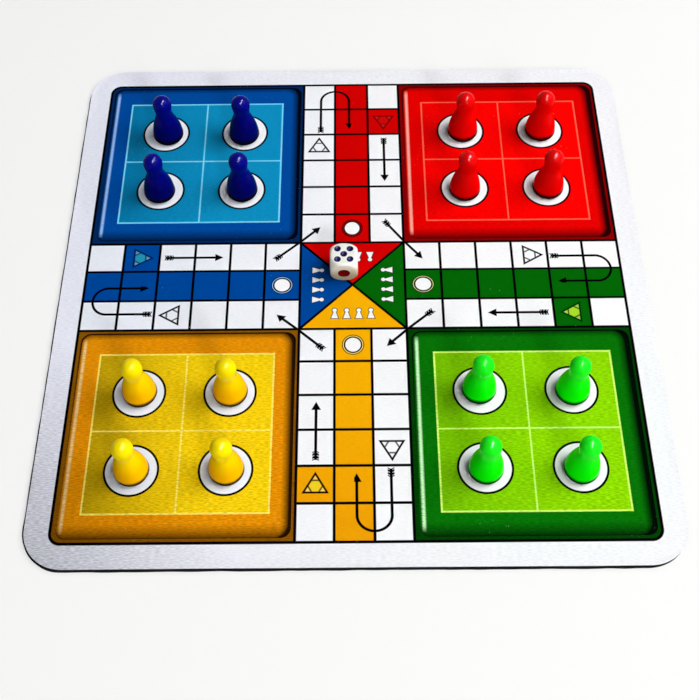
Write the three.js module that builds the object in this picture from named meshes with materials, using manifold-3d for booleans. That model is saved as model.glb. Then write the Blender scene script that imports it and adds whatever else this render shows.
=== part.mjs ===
// A ludo game mat: printed cloth on a thin rubber base, with its pawns and its die standing on it.
// Sizes are in millimetres. +X runs to the right, +Y away from the player and +Z up.
// The origin is the middle of the mat's underside.

import * as THREE from "three";
import { mergeVertices } from "three/addons/utils/BufferGeometryUtils.js";
import Module from "manifold-3d";

// The mat: a rubber base with a printed cloth on it, cut out together with round corners.
const MAT_SIZE = 250;
const MAT_CORNER_RADIUS = 17;
const RUBBER_THICKNESS = 1.5;
const FABRIC_THICKNESS = 0.5;
const EDGE_FLARE = 1; // the cut rubber stands out this far below the cloth
const CORNER_STEPS = 8;

// The printed board, which says where the pawns and the die stand.
const BORDER = 11; // bare cloth round the board
const CENTRE_WIDTH = 44.5; // the board's middle field along X
const CENTRE_DEPTH = 43.7; // the board's middle field along Y
const RING_PITCH_X = 36.5; // between the middles of two start rings of a yard
const RING_PITCH_Y = 33.5;

// A pawn: a moulded figure, hollow and open below.
const PAWN_HEIGHT = 24.4;
const PAWN_BASE_DIAMETER = 13.8;
const PAWN_HEAD_DIAMETER = 8.3;
const PAWN_NECK_DIAMETER = 7.3;
const PAWN_NECK_DROP = 4.9; // from the middle of the head down to the narrowest place
const PAWN_FOOT_RADIUS = 1.6; // the rounding where the side comes down to the mat
const PAWN_FOOT_LAND = 0.7; // width of the flat ring that the pawn stands on
const PAWN_ROOF_INSET = 0.8; // the hollow's roof lies this far inside the neck
const PAWN_ROOF = 3.2; // solid plastic between the hollow and the neck
const PAWN_SIDES = 16;
const PROFILE_STEPS = 3;
const PAWN_THROAT = 1.8; // the outline runs on upright for this far above the neck and below the head's middle

// The pawn's side is one curve, with its handles at these shares of the height up to the neck.
const LOWER_HANDLE = 0.62;
const UPPER_HANDLE = 0.82;
const LOWER_HANDLE_INSET = 0.6;
const UPPER_HANDLE_OUTSET = 0.07;

// The die: a cube whose corners and edges are turned off to a ball, with hollowed pips.
const DIE_SIZE = 11.8;
const DIE_CORNER_CUT = 2.1; // taken off each corner of the cube
const DIE_BALL_SIDES = 28;
const DIE_BALL_RINGS = 18;
const DIE_X = -4;
const DIE_Y = 7.6;
const PIP_OFFSET = 2.65; // from the middle of a face
const PIP_DIAMETER = 2.9;
const PIP_DEPTH = 0.55;
const ACE_DIAMETER = 5.2; // the single pip is larger
const ACE_DEPTH = 1;
const PIP_SIDES = 12;
const PIP_STEPS = 1;
const CUT_CLEARANCE = 0.5; // a pip's cutter stands out of the face

const matTop = RUBBER_THICKNESS + FABRIC_THICKNESS;
const boardSize = MAT_SIZE - 2 * BORDER;

// A yard's four start rings, from the far left to the near right.
const RINGS = [[-1, 1], [1, 1], [-1, -1], [1, -1]];

// The four yards, each with the way that it lies from the middle of the board,
// and how far a hand set each pawn down from the middle of its ring.
const YARDS = [
  {
    name: "blue",
    colour: 0x05107c,
    side: [-1, 1],
    slips: [[1.4, -0.9], [0, -1.3], [0.2, -1], [0.5, -0.7]],
  },
  {
    name: "red",
    colour: 0xd90a0a,
    side: [1, 1],
    slips: [[1, -0.6], [0.2, -0.5], [0, -1.2], [0.6, -0.6]],
  },
  {
    name: "yellow",
    colour: 0xf7c208,
    side: [-1, -1],
    slips: [[0.8, -0.2], [0.5, -0.3], [0.7, -0.4], [0.6, -0.4]],
  },
  {
    name: "green",
    colour: 0x0fc51a,
    side: [1, -1],
    slips: [[-0.3, 0.1], [0.3, -0.8], [0.1, -0.7], [0.2, -0.9]],
  },
];

// Where the pips sit on a face, in steps of PIP_OFFSET.
const PIP_SPOTS = {
  1: [[0, 0]],
  2: [[-1, 1], [1, -1]],
  3: [[-1, 1], [0, 0], [1, -1]],
  4: [[-1, -1], [-1, 1], [1, -1], [1, 1]],
  5: [[-1, -1], [-1, 1], [0, 0], [1, -1], [1, 1]],
  6: [[-1, -1], [-1, 0], [-1, 1], [1, -1], [1, 0], [1, 1]],
};

// The turn that takes a face from the top of the die to its own side.
const QUARTER = Math.PI / 2;
const DIE_FACES = [
  { pips: 5, turn: [0, 0, 0] },
  { pips: 2, turn: [2 * QUARTER, 0, 0] },
  { pips: 1, turn: [QUARTER, 0, 0] },
  { pips: 6, turn: [-QUARTER, 0, 0] },
  { pips: 4, turn: [0, QUARTER, 0] },
  { pips: 3, turn: [0, -QUARTER, 0] },
];

const wasm = await Module();
wasm.setup();

function plastic(colour) {
  return new THREE.MeshStandardMaterial({ color: colour, roughness: 0.25, metalness: 0 });
}

function matte(colour) {
  return new THREE.MeshStandardMaterial({ color: colour, roughness: 0.9, metalness: 0 });
}

function namedMesh(name, geometry, material) {
  const mesh = new THREE.Mesh(geometry, material);
  mesh.name = name;
  return mesh;
}

// A closed three.js geometry as a solid that can be cut.
function toSolid(geometry) {
  const bare = geometry.clone();
  bare.deleteAttribute("normal");
  bare.deleteAttribute("uv");
  const merged = mergeVertices(bare);
  const mesh = new wasm.Mesh({
    numProp: 3,
    vertProperties: merged.attributes.position.array,
    triVerts: new Uint32Array(merged.index.array),
  });
  return new wasm.Manifold(mesh);
}

function toGeometry(solid) {
  const mesh = solid.getMesh();
  const geometry = new THREE.BufferGeometry();
  geometry.setAttribute("position", new THREE.BufferAttribute(mesh.vertProperties, 3));
  geometry.setIndex(new THREE.BufferAttribute(mesh.triVerts, 1));
  geometry.computeVertexNormals();
  return geometry;
}

// A lathe turns about Y. This swaps the axes, so that the turned piece stands along Z.
function standUp(geometry) {
  const position = geometry.attributes.position;
  for (let i = 0; i < position.count; i += 1) {
    position.setXYZ(i, position.getX(i), -position.getZ(i), position.getY(i));
  }
  geometry.computeVertexNormals();
  return geometry;
}

// The mat's outline, with its edge moved in by inset. The middles of the corners stay.
function matOutline(inset) {
  const radius = MAT_CORNER_RADIUS - inset;
  const middle = MAT_SIZE / 2 - MAT_CORNER_RADIUS;
  const outline = new THREE.Shape();
  outline.absarc(middle, middle, radius, 0, QUARTER);
  outline.absarc(-middle, middle, radius, QUARTER, 2 * QUARTER);
  outline.absarc(-middle, -middle, radius, 2 * QUARTER, 3 * QUARTER);
  outline.absarc(middle, -middle, radius, 3 * QUARTER, 4 * QUARTER);
  outline.closePath();
  return outline;
}

function matLayer(inset, thickness) {
  return new THREE.ExtrudeGeometry(matOutline(inset), {
    depth: thickness,
    bevelEnabled: false,
    curveSegments: CORNER_STEPS,
  });
}

// The rubber layer narrows from its full size below to the cloth's outline above.
function rubberBase() {
  const geometry = matLayer(0, RUBBER_THICKNESS);
  const position = geometry.attributes.position;
  const middle = MAT_SIZE / 2 - MAT_CORNER_RADIUS;
  const shrink = (MAT_CORNER_RADIUS - EDGE_FLARE) / MAT_CORNER_RADIUS;
  const drawIn = (value) => Math.sign(value) * (middle + (Math.abs(value) - middle) * shrink);
  for (let i = 0; i < position.count; i += 1) {
    if (position.getZ(i) > 0) {
      position.setX(i, drawIn(position.getX(i)));
      position.setY(i, drawIn(position.getY(i)));
    }
  }
  geometry.computeVertexNormals();
  return namedMesh("mat_rubber_base", geometry, matte(0x17181a));
}

function fabricTop() {
  const cloth = namedMesh("mat_fabric_top", matLayer(EDGE_FLARE, FABRIC_THICKNESS), matte(0xdcdde6));
  cloth.position.z = RUBBER_THICKNESS;
  return cloth;
}

// Half of a pawn's section: out along the hollow's roof, down its wall, round the foot and up to the crown.
function pawnProfile() {
  const base = PAWN_BASE_DIAMETER / 2;
  const neck = PAWN_NECK_DIAMETER / 2;
  const head = PAWN_HEAD_DIAMETER / 2;
  const headHeight = PAWN_HEIGHT - head;
  const neckHeight = headHeight - PAWN_NECK_DROP;
  const hollowHeight = neckHeight - PAWN_ROOF;
  const profile = new THREE.Path();
  profile.moveTo(0, hollowHeight);
  profile.lineTo(neck - PAWN_ROOF_INSET, hollowHeight);
  profile.lineTo(base - PAWN_FOOT_RADIUS - PAWN_FOOT_LAND, 0);
  profile.lineTo(base - PAWN_FOOT_RADIUS, 0);
  profile.quadraticCurveTo(base, 0, base, PAWN_FOOT_RADIUS);
  profile.bezierCurveTo(
    base - LOWER_HANDLE_INSET,
    neckHeight * LOWER_HANDLE,
    neck + UPPER_HANDLE_OUTSET,
    neckHeight * UPPER_HANDLE,
    neck,
    neckHeight,
  );
  profile.bezierCurveTo(neck, neckHeight + PAWN_THROAT, head, headHeight - PAWN_THROAT, head, headHeight);
  profile.absarc(0, headHeight, head, 0, QUARTER);
  const points = profile.getPoints(PROFILE_STEPS);
  points.at(-1).x = 0;
  return points;
}

// A yard's four pawns, numbered from the far left to the near right.
function yardOfPawns(yard) {
  const geometry = standUp(new THREE.LatheGeometry(pawnProfile(), PAWN_SIDES));
  const group = new THREE.Group();
  const [sideX, sideY] = yard.side;
  group.position.x = (sideX * (boardSize + CENTRE_WIDTH)) / 4;
  group.position.y = (sideY * (boardSize + CENTRE_DEPTH)) / 4;
  group.position.z = matTop;
  RINGS.forEach(([column, row], index) => {
    const [slipX, slipY] = yard.slips[index];
    const pawn = namedMesh(`${yard.name}_pawn_${index + 1}`, geometry, plastic(yard.colour));
    pawn.position.x = (column * RING_PITCH_X) / 2 + slipX;
    pawn.position.y = (row * RING_PITCH_Y) / 2 + slipY;
    group.add(pawn);
  });
  return group;
}

// The tool that hollows out one pip: a shallow bowl under a short plug, with the face at height 0.
function pipCutter(diameter, depth) {
  const radius = diameter / 2;
  const ball = (radius * radius + depth * depth) / (2 * depth);
  const rim = Math.asin(radius / ball);
  const profile = new THREE.Path();
  profile.absarc(0, ball - depth, ball, -QUARTER, rim - QUARTER);
  profile.lineTo(radius, CUT_CLEARANCE);
  profile.lineTo(0, CUT_CLEARANCE);
  const points = profile.getPoints(PIP_STEPS);
  points[0].x = 0;
  return standUp(new THREE.LatheGeometry(points, PIP_SIDES));
}

function die() {
  const half = DIE_SIZE / 2;
  const ballRadius = half * Math.sqrt(3) - DIE_CORNER_CUT;
  const ball = new THREE.SphereGeometry(ballRadius, DIE_BALL_SIDES, DIE_BALL_RINGS);
  let body = toSolid(new THREE.BoxGeometry(DIE_SIZE, DIE_SIZE, DIE_SIZE)).intersect(toSolid(ball));
  const pip = pipCutter(PIP_DIAMETER, PIP_DEPTH);
  const ace = pipCutter(ACE_DIAMETER, ACE_DEPTH);
  for (const face of DIE_FACES) {
    const turn = new THREE.Matrix4().makeRotationFromEuler(new THREE.Euler(...face.turn));
    for (const [column, row] of PIP_SPOTS[face.pips]) {
      const cutter = (face.pips === 1 ? ace : pip).clone();
      cutter.translate(column * PIP_OFFSET, row * PIP_OFFSET, half);
      body = body.subtract(toSolid(cutter.applyMatrix4(turn)));
    }
  }
  const cube = namedMesh("die", toGeometry(body), plastic(0xf0efe6));
  cube.position.set(DIE_X, DIE_Y, matTop + half);
  return cube;
}

const ludoMat = new THREE.Group();
ludoMat.add(rubberBase(), fabricTop(), ...YARDS.map(yardOfPawns), die());

export default ludoMat;
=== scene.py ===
# %% [markdown]
# # A ludo game mat with its pawns and its die
# A thin rubber sheet with a printed cloth bonded on it, sixteen plastic pawns and one die.
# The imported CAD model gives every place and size, so each piece is made straight in its own place.
# Lengths are metres, +X runs to the right, +Y away from the player and +Z up.

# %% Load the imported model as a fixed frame
import math
from functools import partialmethod

import bmesh
import bpy
from bmesh import ops
from mathutils import Matrix, Vector, noise


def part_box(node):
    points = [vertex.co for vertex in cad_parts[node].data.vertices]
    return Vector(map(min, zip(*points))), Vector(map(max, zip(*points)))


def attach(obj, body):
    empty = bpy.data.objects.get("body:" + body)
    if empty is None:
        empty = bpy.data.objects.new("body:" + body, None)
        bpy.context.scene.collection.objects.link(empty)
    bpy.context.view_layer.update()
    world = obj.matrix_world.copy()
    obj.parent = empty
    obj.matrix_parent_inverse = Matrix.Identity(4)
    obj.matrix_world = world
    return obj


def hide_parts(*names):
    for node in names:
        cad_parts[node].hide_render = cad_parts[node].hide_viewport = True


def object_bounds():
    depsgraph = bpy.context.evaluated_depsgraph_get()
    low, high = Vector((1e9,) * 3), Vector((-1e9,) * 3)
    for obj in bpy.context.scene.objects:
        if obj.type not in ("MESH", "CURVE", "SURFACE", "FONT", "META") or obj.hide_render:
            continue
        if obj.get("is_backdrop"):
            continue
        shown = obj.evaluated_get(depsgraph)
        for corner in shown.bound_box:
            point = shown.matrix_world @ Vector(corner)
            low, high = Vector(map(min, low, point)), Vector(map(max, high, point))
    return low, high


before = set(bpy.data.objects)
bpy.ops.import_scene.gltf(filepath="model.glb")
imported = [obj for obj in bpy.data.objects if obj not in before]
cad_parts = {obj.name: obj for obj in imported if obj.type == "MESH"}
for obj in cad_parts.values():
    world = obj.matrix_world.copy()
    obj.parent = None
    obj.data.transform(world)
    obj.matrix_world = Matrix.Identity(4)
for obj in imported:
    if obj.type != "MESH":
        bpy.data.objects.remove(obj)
cad_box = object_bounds()
scene = bpy.context.scene
scene.view_settings.view_transform = "Standard"
MM = 0.001


def in_mm(point):
    """A point in millimetres, rounded for a print."""
    return [round(c / MM, 2) for c in point]


print("CAD box in mm:", [in_mm(corner) for corner in cad_box])

# %% [markdown]
# ## The camera
# The mat was seen from the player's side. A camera can be aimed by eye or solved:
# here the print's straight lines gave its place, its aim, its lens and its small roll.

# %% Camera
CAMERA_PLACE = Vector((0.05, -249.87, 378.06)) * MM
CAMERA_AIM = Vector((-1.68, -32.07, 2.0)) * MM
CAMERA_ROLL = math.radians(-0.885)
CAMERA_LENS = 54.68

camera_data = bpy.data.cameras.new("camera")
camera_data.lens = CAMERA_LENS
camera_data.sensor_width = 36
camera_data.clip_start = 0.01
camera = bpy.data.objects.new("camera", camera_data)
aim_turn = (CAMERA_AIM - CAMERA_PLACE).to_track_quat("-Z", "Y").to_matrix().to_4x4()
camera.matrix_world = Matrix.Translation(CAMERA_PLACE) @ aim_turn @ Matrix.Rotation(CAMERA_ROLL, 4, "Z")
scene.collection.objects.link(camera)
scene.camera = camera
print("Camera at", in_mm(CAMERA_PLACE), "mm")

# %% [markdown]
# ## Formulas as nodes
# A printed pattern is a lot of arithmetic on the place of a point, and each step is one Math node.
# Joining them by hand is slow to read, so here a formula is written as a formula:
# every +, - and * on a Term adds one Math node to the Term's tree.

# %% Terms that become Math nodes
# Where each kind of Mix node has its two values and its result.
MIX_SOCKETS = {"FLOAT": (2, 3, 0), "RGBA": (6, 7, 2)}


def feed(entry, value):
    """Puts a Term or a plain value into a node's entry."""
    if isinstance(value, Term):
        value.tree.links.new(value.socket, entry)
    else:
        entry.default_value = value


def wire(node, **values):
    """Feeds a node's entries by their names, with _ for a space."""
    for label, value in values.items():
        feed(node.inputs[label.replace("_", " ")], value)


def mix(kind, mask, under, over):
    """A Mix node that gives under where the mask is 0 and over where it is 1."""
    node = mask.tree.nodes.new("ShaderNodeMix")
    node.data_type = kind
    under_at, over_at, result_at = MIX_SOCKETS[kind]
    for place, value in ((0, mask), (under_at, under), (over_at, over)):
        feed(node.inputs[place], value)
    return Term(node.outputs[result_at])


class Term:
    """A number or colour that changes over a surface."""

    def __init__(self, socket):
        self.socket = socket
        self.tree = socket.id_data

    def maths(self, operation, *others, clamp=False):
        node = self.tree.nodes.new("ShaderNodeMath")
        node.operation = operation
        node.use_clamp = clamp
        for entry, value in zip(node.inputs, (self, *others)):
            feed(entry, value)
        return Term(node.outputs[0])

    def __rsub__(self, other):
        return self.maths("MULTIPLY_ADD", -1.0, other)

    __add__ = partialmethod(maths, "ADD")
    __sub__ = partialmethod(maths, "SUBTRACT")
    __mul__ = partialmethod(maths, "MULTIPLY")
    __abs__ = partialmethod(maths, "ABSOLUTE")
    least = partialmethod(maths, "MINIMUM")
    most = partialmethod(maths, "MAXIMUM")
    # 1 where the term is more than a limit, else 0.
    over = partialmethod(maths, "GREATER_THAN")

    def fade(self, start, end):
        """0 up to start, 1 from end, straight between them."""
        slope = 1.0 / (end - start)
        return self.maths("MULTIPLY_ADD", slope, -start * slope, clamp=True)

    def choose(self, no, yes):
        """yes where the term is 1, no where it is 0."""
        return mix("FLOAT", self, no, yes)


def paint(under, colour, mask):
    """Lays a colour over another one where the mask is 1."""
    return mix("RGBA", mask, under, colour)


def hypotenuse(across, along):
    """How far a point is from the place where both terms are 0."""
    return across.maths("MULTIPLY_ADD", across, along * along).maths("SQRT")


def linear(red, green, blue):
    """A colour on the 0 to 255 scale of a screen, as the light that it stands for."""
    shares = [c / 255 for c in (red, green, blue)]
    return (*[s / 12.92 if s <= 0.04045 else ((s + 0.055) / 1.055) ** 2.4 for s in shares], 1.0)


def object_place(tree):
    """The place of a point on the piece, in metres, as a vector Term."""
    return Term(tree.nodes.new("ShaderNodeTexCoord").outputs["Object"])


def split(vector):
    """The three numbers of a vector Term."""
    node = vector.tree.nodes.new("ShaderNodeSeparateXYZ")
    wire(node, Vector=vector)
    return [Term(s) for s in node.outputs]


def grain(vector, scale, detail=2.0, stretch=None):
    """Soft noise from 0 to 1 whose spots are about 1 / scale metres wide."""
    if stretch:
        squeeze = vector.tree.nodes.new("ShaderNodeVectorMath")
        squeeze.operation = "MULTIPLY"
        feed(squeeze.inputs[0], vector)
        feed(squeeze.inputs[1], stretch)
        vector = Term(squeeze.outputs[0])
    node = vector.tree.nodes.new("ShaderNodeTexNoise")
    wire(node, Vector=vector, Scale=scale, Detail=detail)
    return Term(node.outputs["Fac"])


print("Terms ready")

# %% [markdown]
# ## Materials, groups and pieces
# Every finish is a Principled shader whose colour, roughness and bump change over the surface.
# What two finishes share is a node group: it is wired once and each material sets its own values on it.
# A piece is a bmesh as an object at the origin, which rides on a body in place of a CAD node.

# %% Helpers for materials, groups and pieces
SAME_SPOT = 1e-6
SORT_ALONG = Vector((1.0, 1.7321, 2.2361))


def new_material(name, **settings):
    """A material with one Principled shader, as the material, its node tree and the shader."""
    material = bpy.data.materials.new(name)
    material.use_nodes = True
    shader = material.node_tree.nodes["Principled BSDF"]
    wire(shader, **settings)
    return material, material.node_tree, shader


def new_group(name, entries, exits):
    """A shader node group with named entries and exits, each a Vector, a Color or a Float."""
    group = bpy.data.node_groups.new(name, "ShaderNodeTree")
    for in_out, sockets in (("INPUT", entries), ("OUTPUT", exits)):
        for label, kind in sockets.items():
            group.interface.new_socket(label, in_out=in_out, socket_type=f"NodeSocket{kind}")
    source = group.nodes.new("NodeGroupInput")
    return group, {s.name: Term(s) for s in source.outputs if s.name}


def close_group(group, **results):
    """Joins the results to the group's exits."""
    wire(group.nodes.new("NodeGroupOutput"), **results)
    print("Group", group.name, "has", len(group.nodes), "nodes")


def place_group(tree, group, **values):
    """Puts a group into a material and gives back its exits by name."""
    node = tree.nodes.new("ShaderNodeGroup")
    node.node_tree = group
    wire(node, **values)
    return {s.name: Term(s) for s in node.outputs}


def bump(shader, height, distance, strength=1.0):
    """Lets a height in shares of distance metres tilt the surface's shading."""
    node = shader.id_data.nodes.new("ShaderNodeBump")
    wire(node, Strength=strength, Distance=distance, Height=height)
    wire(shader, Normal=Term(node.outputs["Normal"]))


def new_object(name, bm):
    """Turns a bmesh into an object of the scene."""
    mesh = bpy.data.meshes.new(name)
    bm.to_mesh(mesh)
    bm.free()
    made = bpy.data.objects.new(name, mesh)
    scene.collection.objects.link(made)
    return made


def make_piece(bm, name, body, node, materials, smooth_angle):
    """A piece that rides on its CAD body in place of its CAD node; the angle is in degrees."""
    piece = new_object(name, bm)
    for material in materials:
        piece.data.materials.append(material)
    piece.data.shade_smooth()
    piece.data.set_sharp_from_angle(angle=math.radians(smooth_angle))
    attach(piece, body)
    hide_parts(node)
    return piece


def open_edges(bm):
    """How many edges don't lie between two faces."""
    return sum(not e.is_manifold for e in bm.edges)


def put_in_order(bm):
    """Sorts points, edges and faces by place, so that every run goes through them alike."""
    bm.verts.sort(key=lambda v: v.co.dot(SORT_ALONG))
    bm.edges.sort(key=lambda e: (e.verts[0].co + e.verts[1].co).dot(SORT_ALONG))
    bm.faces.sort(key=lambda f: f.calc_center_median().dot(SORT_ALONG))


def weld(bm):
    """Joins points that share a spot."""
    put_in_order(bm)
    ops.remove_doubles(bm, verts=bm.verts, dist=SAME_SPOT)
    put_in_order(bm)


print("Helpers ready")

# %% [markdown]
# ## Floor, world and lamps
# The mat lies on a pale table. A broad lamp stands high on the right and a small weaker one in front,
# so soft shadows fall to the left and fainter ones away from the player.
# A long narrow lamp overhead is seen by gloss only: it draws the upright highlight on every head.
# The world is white to the camera and dimmer as a light, so the background is pale without more light
# on the mat. The floor does the same: a part of it glows, more so farther out, where no horizon
# is to show, and the rest still takes the shadow.

# %% Floor, world and lamps
FLOOR_SIZE = 3.0
FLOOR_COLOUR = (0.90, 0.90, 0.885, 1.0)
FLOOR_GLOW = 0.5
FLOOR_NEAR, FLOOR_FAR = 0.35, 1.2
FLOOR_DROP = 0.02 * MM
FILL_STRENGTH = 0.12
# Name, place, length, width and power of each lamp, and whether it lights matt surfaces too.
LAMPS = [
    ("key_lamp", Vector((1.12, 0.18, 1.44)), 1.3, 1.3, 33.0, True),
    ("front_lamp", Vector((0.50, -1.15, 0.75)), 0.3, 0.3, 8.2, True),
    ("strip_lamp", Vector((0.25, -0.07, 1.1)), 1.5, 0.2, 190.0, False),
]


def seen_directly(tree):
    """1 for rays from the camera, from a gloss or through glass, else 0."""
    rays = tree.nodes.new("ShaderNodeLightPath")
    camera, gloss, glass = [Term(rays.outputs[f"Is {kind} Ray"])
                            for kind in ("Camera", "Glossy", "Transmission")]
    return camera.most(gloss).most(glass)


floor_mesh = bmesh.new()
ops.create_grid(floor_mesh, x_segments=4, y_segments=4, size=FLOOR_SIZE)
ops.translate(floor_mesh, verts=floor_mesh.verts, vec=(0, 0, -FLOOR_DROP))
floor = new_object("table_top", floor_mesh)
floor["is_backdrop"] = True

floor_material, floor_tree, floor_shader = new_material(
    "pale_table", Base_Color=FLOOR_COLOUR, Roughness=0.8, Specular_IOR_Level=0.0)
floor_glow = floor_tree.nodes.new("ShaderNodeEmission")
floor_blend = floor_tree.nodes.new("ShaderNodeMixShader")
floor_x, floor_y, _ = split(object_place(floor_tree))
far_floor = hypotenuse(floor_x, floor_y).fade(FLOOR_NEAR, FLOOR_FAR)
floor_share = far_floor * (1 - FLOOR_GLOW) + FLOOR_GLOW
feed(floor_blend.inputs[0], seen_directly(floor_tree) * floor_share)
feed(floor_blend.inputs[1], Term(floor_shader.outputs[0]))
feed(floor_blend.inputs[2], Term(floor_glow.outputs[0]))
wire(floor_tree.nodes["Material Output"], Surface=Term(floor_blend.outputs[0]))
floor.data.materials.append(floor_material)

world = bpy.data.worlds.new("white_room")
scene.world = world
world.use_nodes = True
sky = world.node_tree.nodes["Background"]
wire(sky, Color=(1.0, 1.0, 1.0, 1.0), Strength=seen_directly(world.node_tree).choose(FILL_STRENGTH, 1.0))

for name, place, length, width, power, lights_matt in LAMPS:
    lamp_data = bpy.data.lights.new(name, "AREA")
    lamp_data.shape = "RECTANGLE"
    lamp_data.size, lamp_data.size_y = length, width
    lamp_data.energy = power
    lamp = bpy.data.objects.new(name, lamp_data)
    lamp.location = place
    lamp.rotation_euler = (-place).to_track_quat("-Z", "Y").to_euler()
    lamp.visible_diffuse = lights_matt
    scene.collection.objects.link(lamp)
    print("Lamp", name, "at", [round(c, 2) for c in place], "with", power, "W")

# %% [markdown]
# ## The cut outline of the mat
# Rubber and cloth are bonded first and cut together, so both edges wander by a tenth of a millimetre.
# A rounded square could be traced point by point; a square with bevelled corner points is quicker
# and exact. Its long sides are then divided, so that there are points that can wander.

# %% Rounded outlines
MAT_LOW, MAT_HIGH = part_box("mat_rubber_base")
CLOTH_LOW, CLOTH_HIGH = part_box("mat_fabric_top")
MAT_HALF = MAT_HIGH.x
CLOTH_HALF = CLOTH_HIGH.x
CORNER_RADIUS = 17 * MM
CORNER_STEPS = 20
SIDE_CUTS = 99
CUT_WANDER, WANDER_SCALE = 0.10 * MM, 30
CUT_NICK, NICK_SCALE = 0.02 * MM, 400
TATTER, TATTER_SCALE = 0.2 * MM, 140


def outward(point, half):
    """The direction out of the rounded square that passes near a point."""
    core = half - CORNER_RADIUS
    inner = Vector((max(-core, min(core, point.x)), max(-core, min(core, point.y)), point.z))
    return (point - inner).normalized()


def rounded_square(bm, half, height, ragged=0.0):
    """Adds one flat face with round corners and a wandering or ragged outline."""
    radius = CORNER_RADIUS - (MAT_HALF - half)
    lift = Matrix.Translation((0, 0, height))
    corners = ops.create_grid(bm, x_segments=1, y_segments=1, size=half, matrix=lift)["verts"]
    ops.bevel(bm, geom=corners, offset=radius, segments=CORNER_STEPS, profile=0.5,
              affect="VERTICES", material=-1)
    face = min(bm.faces, key=lambda f: abs(f.calc_center_median().z - height))
    sides = [e for e in face.edges if e.calc_length() > half]
    ops.subdivide_edges(bm, edges=sides, cuts=SIDE_CUTS)
    for vert in face.verts:
        spot = Vector((vert.co.x, vert.co.y, 0))
        wander = CUT_WANDER * noise.noise(spot * WANDER_SCALE) + CUT_NICK * noise.noise(spot * NICK_SCALE)
        tatter = ragged * noise.noise(spot * TATTER_SCALE)
        vert.co += outward(spot, half) * (wander + tatter - CUT_WANDER)
    return face


print("Rubber and cloth reach", in_mm((MAT_HALF, CLOTH_HALF)), "mm from the middle")

# %% [markdown]
# ## The rubber base
# The base is black foam rubber, a millimetre and a half thick. The knife leaves its side hollow:
# it stands out at the table, draws in at half its height and meets the cloth again at the top.
# The near and far sides were cut a little closer than the left one, and the right side flush with the cloth.
# Five rounded outlines at five heights, joined by bridges, give that hollow edge.

# %% Rubber base shape
RUBBER_TOP = MAT_HIGH.z
FLARE = MAT_HALF - CLOTH_HALF
NEAR_TRIM = 1 - 0.45 * MM / MAT_HALF
RIGHT_TRIM = 1 - 0.95 * MM / MAT_HALF
# A share of the rubber's thickness, how far the edge draws in there and how ragged it is.
RUBBER_EDGE = [(0.0, 0.1 * FLARE, TATTER), (0.1, 0.0, TATTER), (0.45, 0.6 * FLARE, TATTER * 0.5),
               (0.8, 1.1 * FLARE, 0.0), (1.0, FLARE, 0.0)]

rubber = bmesh.new()
rings = []
for share, draw_in, ragged in RUBBER_EDGE:
    ring_face = rounded_square(rubber, MAT_HALF - draw_in, share * RUBBER_TOP, ragged)
    if ragged:
        ops.scale(rubber, verts=ring_face.verts, vec=(1, NEAR_TRIM, 1))
        right_side = [vert for vert in ring_face.verts if vert.co.x > 0]
        ops.scale(rubber, verts=right_side, vec=(RIGHT_TRIM, 1, 1))
    rings.append((ring_face, list(ring_face.edges)))
middle_faces = [face for face, _ in rings[1:-1]]
for (_, lower), (_, upper) in zip(rings, rings[1:]):
    ops.bridge_loops(rubber, edges=lower + upper)
ops.delete(rubber, geom=middle_faces, context="FACES_ONLY")
ops.recalc_face_normals(rubber, faces=rubber.faces)
print("Rubber base has", len(rubber.faces), "faces and", open_edges(rubber), "open edges")

# %% [markdown]
# ## Lint and the rubber's finish
# Dark rubber and pale cloth both pick up lint, so that is a group with one mask.
# The rubber itself is a matt near-black with the open cells of the foam in its cut edge,
# and a fine net pressed into its underside, which keeps it from sliding.

# %% Lint group and rubber finish
LINT_EDGE, PATCH_EDGE = (0.74, 0.80), (0.50, 0.65)
lint, lint_in = new_group("stray_lint", {"Place": "Vector", "Amount": "Float"}, {"Mask": "Float"})
lint_long = grain(lint_in["Place"], scale=1500, detail=1.0, stretch=(1.0, 0.6, 1.0))
lint_patch = grain(lint_in["Place"], scale=60, detail=1.0)
close_group(lint, Mask=lint_long.fade(*LINT_EDGE) * lint_patch.fade(*PATCH_EDGE) * lint_in["Amount"])

CLOUD_EDGE, PORE_EDGE = (0.3, 0.7), (0.38, 0.62)
PORE_INK = 0.5
RUBBER_ROUGH, PORE_GLOSS = 0.9, 0.14
NET_PITCH, NET_RISE, NET_REACH = 1.1 * MM, 3.0, 0.05 * MM

rubber_material, rubber_tree, rubber_shader = new_material("foam_rubber", Specular_IOR_Level=0.04)
rubber_place = object_place(rubber_tree)
rubber_x, rubber_y, rubber_z = split(rubber_place)
pores = grain(rubber_place, scale=4200).fade(*PORE_EDGE)
net_x = (rubber_x + rubber_y) * (math.pi / NET_PITCH)
net_y = (rubber_x - rubber_y) * (math.pi / NET_PITCH)
net = net_x.maths("SINE") * net_y.maths("SINE")
rubber_lint = place_group(rubber_tree, lint, Place=rubber_place, Amount=0.35)["Mask"]
rubber_cloud = grain(rubber_place, scale=90).fade(*CLOUD_EDGE)
rubber_colour = paint(linear(8, 8, 9), linear(15, 15, 17), rubber_cloud)
rubber_colour = paint(rubber_colour, linear(6, 6, 7), pores * PORE_INK)
rubber_colour = paint(rubber_colour, linear(96, 94, 92), rubber_lint)
wire(rubber_shader, Base_Color=rubber_colour, Roughness=pores * -PORE_GLOSS + RUBBER_ROUGH)
underside = rubber_z.fade(NET_REACH, 0.0)
bump(rubber_shader, pores + abs(net) * underside * NET_RISE, distance=0.06 * MM)

rubber_base = make_piece(rubber, "foam_rubber_base", "mat", "mat_rubber_base",
                         [rubber_material], smooth_angle=35)
print("Made", rubber_base.name)

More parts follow.
